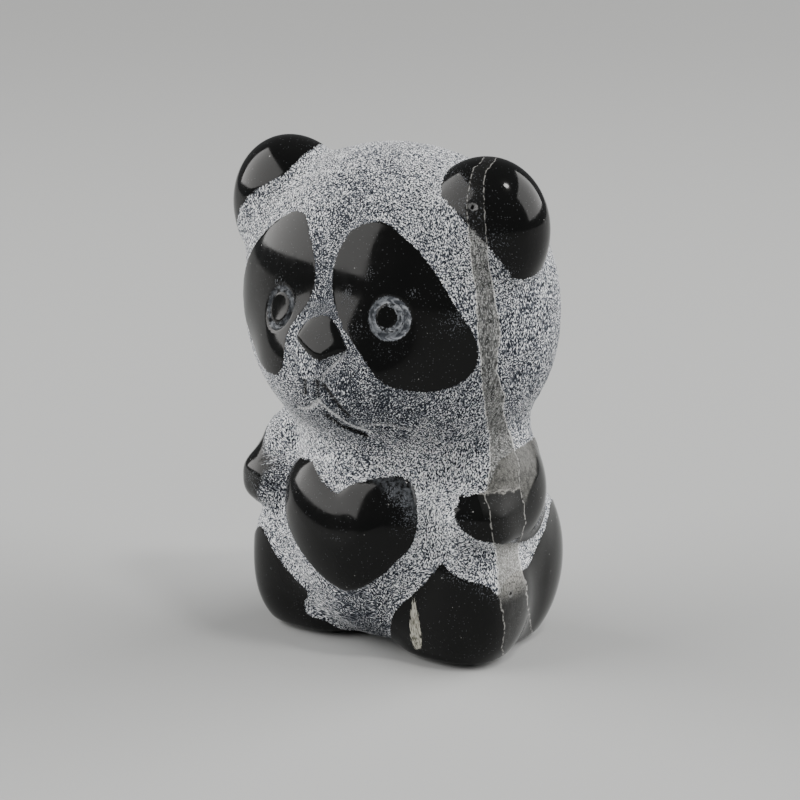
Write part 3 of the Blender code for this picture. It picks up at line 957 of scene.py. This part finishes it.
    def find_rings(self):
        """The rings cut round the eyes. The right eye's is worn and patchy."""
        self.ring = self.kept("ring")
        worn = self.plus(self.ring, self.ripple(self.fine, RING_WAVER))
        right_eye = self.step(self.across, *RIGHT_SIDE)
        patchy = self.step(self.medium, *RIGHT_RING_PATCHES)
        self.ring_cut = self.times(self.step(worn, *RING_EDGE), self.blend(right_eye, 1.0, patchy))

    def cut(self, name):
        """Where one kind of cut shows in the fur."""
        return self.times(self.line(self.kept(name), *CUT_EDGES[name]), self.kept(name + "_near"))

    def cover(self, name, where, below, above):
        """One colour over another, as far as it covers by its name."""
        return self.tint(self.times(where, COVERS[name]), below, above)

    def fur_colour(self):
        """The ground fur, with the grey and streaky vein, the cuts, the painted shade of the folds and
        the vein's edge lines.
        """
        vein = self.tint(self.step(self.streaks, *VEIN_STREAK_LIMITS), VEIN_DARK, VEIN_GREY)
        vein = self.cover("vein_tip", self.tips, vein, VEIN_TIP)
        vein = self.tint(self.step(self.tall, *VEIN_FOOT_HEIGHTS), vein, VEIN_FOOT)
        fur = self.tint(self.tips, self.tint(self.grain, FUR_GAP, FUR_GREY), FUR_TIP)
        fur = self.cover("vein", self.in_vein, fur, vein)
        pale_cut = self.most(self.cut("lip"), self.times(self.cut("lobe"), LOBE_SHARE))
        scored = self.times(pale_cut, self.step(self.strokes, *SCORED_STROKES))
        fold_shade = self.times(self.cut("fold_shade"), self.step(self.medium, *FOLD_SHADE_PATCHES))
        fur = self.cover("scored", scored, fur, SCORED_CUT)
        # The mouth's cut painted dark, and painted shade along the folds.
        fur = self.cover("dark", self.most(self.cut("mouth"), fold_shade), fur, DARK_CUT_AND_FOLD_SHADE)
        return self.cover("fur_line", self.lines, fur, FUR_LINE)

    def speckled(self, black):
        """The polished stone with its scattered pale specks."""
        away, size_chance, tone = self.cells(self.place, SPECK_SCALE)
        speck = self.math("LESS_THAN", away, self.step(size_chance, *SPECK_SIZES))
        return self.tint(self.times(speck, tone), black, SPECK)

    def dusty(self, black):
        """The polished stone with dust, thickest in the vein and in some broad areas."""
        away, _, chance = self.cells(self.place, DUST_SCALE)
        thickness = self.most(self.times(self.in_vein, DUST_IN_VEIN),
                              self.step(self.broad, *DUSTY_AREAS))
        there = self.math("GREATER_THAN", self.plus(chance, self.times(thickness, DUST_CHANCE)), 1.0)
        motes = self.times(self.step(away, *DUST_EDGE), there)
        return self.tint(self.times(motes, self.times(chance, DUST_COVER)), black, DUST)

    def matted(self, black):
        """The polished stone with the vein's matt zones and the ledge on the arm."""
        matt = self.tint(self.step(self.streaks, *MATT_STREAK_LIMITS), MATT_DARK, MATT_GREY)
        matt = self.cover("matt_tip", self.tips, matt, MATT_TIP)
        black = self.cover("matt", self.matt, black, matt)
        black = self.cover("faded", self.times(self.faded, self.grain), black, VEIN_FOOT)
        wavering = self.plus(self.tall, self.times(self.medium, LEDGE_WAVER))
        ledge = self.line(self.math("SUBTRACT", wavering, LEDGE_HEIGHT), *LEDGE_EDGE)
        ledge = self.times(ledge, self.by_vein, self.step(self.fine, *LEDGE_GAPS))
        return self.cover("ledge", ledge, black, LEDGE)

    def marked(self, black):
        """The polished stone with the vein's edge lines, the bruise, inclusion and nicks."""
        cream = self.tint(self.step(self.fibres, *CREAM_FIBRES), CREAM_DARK, CREAM)
        black = self.cover("black_line", self.lines, black, BLACK_LINE)
        black = self.cover("bruise", self.bruise, black, BRUISE_GREY)
        black = self.cover("cream", self.cream, black, cream)
        return self.cover("nicks", self.nicks, black, NICK)

    def ringed(self, black):
        """The polished stone with the ground rings, whose scratches follow their edges."""
        depth = self.times(self.ring, SCRATCHES_ACROSS)
        shift = self.add("ShaderNodeCombineXYZ", {0: depth}).outputs[0]
        place = self.vector("ADD", self.vector("MULTIPLY", self.place, SCRATCH_SCALES), shift)
        scratches = self.step(self.noise(place, *RING_SCRATCHES), *SCRATCH_LIMITS)
        return self.tint(self.ring_cut, black, self.tint(scratches, RING_DARK, RING_GREY))

    def polished_colour(self):
        """The polished black stone, in which the vein is only a little lighter."""
        glassy = self.times(self.in_vein, self.step(self.streaks, *GLASSY_STREAKS),
                            self.step(self.tall, *GLASSY_HEIGHTS))
        black = self.tint(self.broad, BLACK, BLACK_PALER)
        black = self.tint(glassy, black, BLACK_VEIN)
        black = self.dusty(self.speckled(black))
        return self.ringed(self.marked(self.matted(black)))

    def pitted(self, colour):
        """Any stone with the drilled pits."""
        pit = self.kept("pit")
        colour = self.cover("pit_rim", self.within(pit, *PIT_RIM_REACH), colour, PIT_RIM)
        return self.tint(self.step(pit, *PIT_INSIDE), colour, PIT_FLOOR)

    def roughness(self):
        """Glossy fields, less the places where they are ground or matt, and rough fur."""
        dulled = self.most(self.ring_cut, self.times(self.nicks, NICKS_DULL),
                           self.times(self.cream, CREAM_DULLS),
                           self.times(self.most(self.matt, self.blunt), MATT_DULLS))
        sheen = self.step(self.noise(self.place, *SHEEN), *SHEEN_RANGE)
        return self.blend(self.field, FUR_ROUGHNESS, self.blend(dulled, sheen, GROUND_ROUGHNESS))

    def unevenness(self):
        """Fine height: deep in the fur, slight in what is ground through the polish."""
        fur = self.times(self.math("SUBTRACT", 1.0, self.field), self.grain)
        ground = self.times(self.most(self.ring_cut, self.nicks), self.times(self.fine, GROUND_HEIGHT))
        height = self.plus(fur, ground, self.step(self.ring, *RING_SINK))
        inputs = {"Height": height, "Strength": BUMP_STRENGTH, "Distance": BUMP_DEPTH}
        return self.add("ShaderNodeBump", inputs).outputs[0]

    def look(self):
        """The finished material."""
        colour = self.tint(self.field, self.fur_colour(), self.polished_colour())
        return self.finish({"Base Color": self.pitted(colour), "Roughness": self.roughness(),
                            "Normal": self.unevenness(), "IOR": REFRACTION})


# Camera of the photograph: direction from the figure in degrees, distance in shares, the point
# that it looks at as shares to the right and up, and its lens in millimetres.
CAMERA_TURN = 36.5
CAMERA_RISE = 14.3
CAMERA_AWAY = 524.2
CAMERA_AIM = (-0.9, 48.2)
LENS = 118.4
SENSOR_WIDTH = 36.0
NEAREST_SEEN = 0.01


def compass(turn, rise):
    """A direction, by degrees round from the front and degrees up."""
    a, e = np.radians(turn), np.radians(rise)
    return Vector((np.sin(a) * np.cos(e), -np.cos(a) * np.cos(e), np.sin(e)))


def photo_camera():
    back = compass(CAMERA_TURN, CAMERA_RISE)
    right = compass(CAMERA_TURN + 90.0, 0.0)
    target = right * CAMERA_AIM[0] * SHARE + Vector((0, 0, CAMERA_AIM[1] * SHARE))
    data = bpy.data.cameras.new("photo_camera")
    data.lens = LENS
    data.sensor_width = SENSOR_WIDTH
    data.clip_start = NEAREST_SEEN
    camera = bpy.data.objects.new("photo_camera", data)
    camera.location = target + back * CAMERA_AWAY * SHARE
    camera.rotation_euler = back.to_track_quat("Z", "Y").to_euler()
    bpy.context.collection.objects.link(camera)
    bpy.context.scene.camera = camera


# Studio, in metres: each lamp's name and shape, direction (turn, rise) and distance, width and
# height, radiance and colour, how far down it faces (tip) and its turn in its own plane (roll).
AIM_HEIGHT = 0.035
LAMPS = (("front_softbox", "RECTANGLE", (-57.0, 34.0), 2.5, (3.3, 2.1),
          5.6, (1.0, 0.985, 0.965), 4.0, 5.0),
         ("side_softbox", "RECTANGLE", (134.0, 32.0), 2.5, (3.4, 1.95),
          6.3, (1.0, 0.99, 0.975), 32.0, 0.0),
         ("lamp", "ELLIPSE", (77.0, 65.0), 2.0, (0.28, 0.28),
          60.0, (1.0, 0.985, 0.95), 65.0, 0.0))
SHAPE_AREAS = {"RECTANGLE": 1.0, "ELLIPSE": np.pi / 4}
WORLD_GREY = (0.15, 0.153, 0.157, 1)
FLOOR_HALF = 4
# Painted fall-off of light on the floor: its colour near the figure, far from it, and the distances in
# metres over which it darkens.
FLOOR_NEAR_LIT = (0.428, 0.434, 0.432, 1)
FLOOR_FAR_DIMMED = (0.335, 0.338, 0.336, 1)
FLOOR_LIGHT_FALLOFF = (0.1, 0.8)
FLOOR_ROUGHNESS = 0.6


def lamp(name, shape, direction, away, size, radiance, colour, tip, roll):
    data = bpy.data.lights.new(name, "AREA")
    data.shape = shape
    data.size, data.size_y = size
    data.energy = radiance * np.pi * size[0] * size[1] * SHAPE_AREAS[shape]
    data.color = colour
    turn, rise = direction
    light = bpy.data.objects.new(name, data)
    light.location = Vector((0, 0, AIM_HEIGHT)) + compass(turn, rise) * away
    facing = compass(turn, tip).to_track_quat("Z", "Y")
    light.rotation_euler = (facing @ Quaternion((0, 0, 1), np.radians(roll))).to_euler()
    bpy.context.collection.objects.link(light)


def paper_with_painted_falloff():
    """The floor's paper, with painted fall-off of light: a little darker away from the figure."""
    web = Web("paper_with_painted_falloff")
    place = web.add("ShaderNodeTexCoord").outputs["Object"]
    away = web.add("ShaderNodeVectorMath", {0: place}, operation="LENGTH").outputs["Value"]
    pale = web.tint(web.step(away, *FLOOR_LIGHT_FALLOFF), FLOOR_NEAR_LIT, FLOOR_FAR_DIMMED)
    return web.finish({"Base Color": pale, "Roughness": FLOOR_ROUGHNESS})


def studio():
    for values in LAMPS:
        lamp(*values)
    world = bpy.data.worlds.new("studio")
    world.use_nodes = True
    world.node_tree.nodes["Background"].inputs[0].default_value = WORLD_GREY
    bpy.context.scene.world = world

    floor = bpy.data.meshes.new("floor")
    corners = [(x * FLOOR_HALF, y * FLOOR_HALF, 0) for x, y in ((-1, -1), (1, -1), (1, 1), (-1, 1))]
    floor.from_pydata(corners, [], [(0, 1, 2, 3)])
    floor.materials.append(paper_with_painted_falloff())
    ground = bpy.data.objects.new("floor", floor)
    bpy.context.collection.objects.link(ground)


photo_camera()
studio()
panda_stone = carving()
panda_stone.data.materials.append(Stone().look())
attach(panda_stone, "root")
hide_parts("panda_figurine")
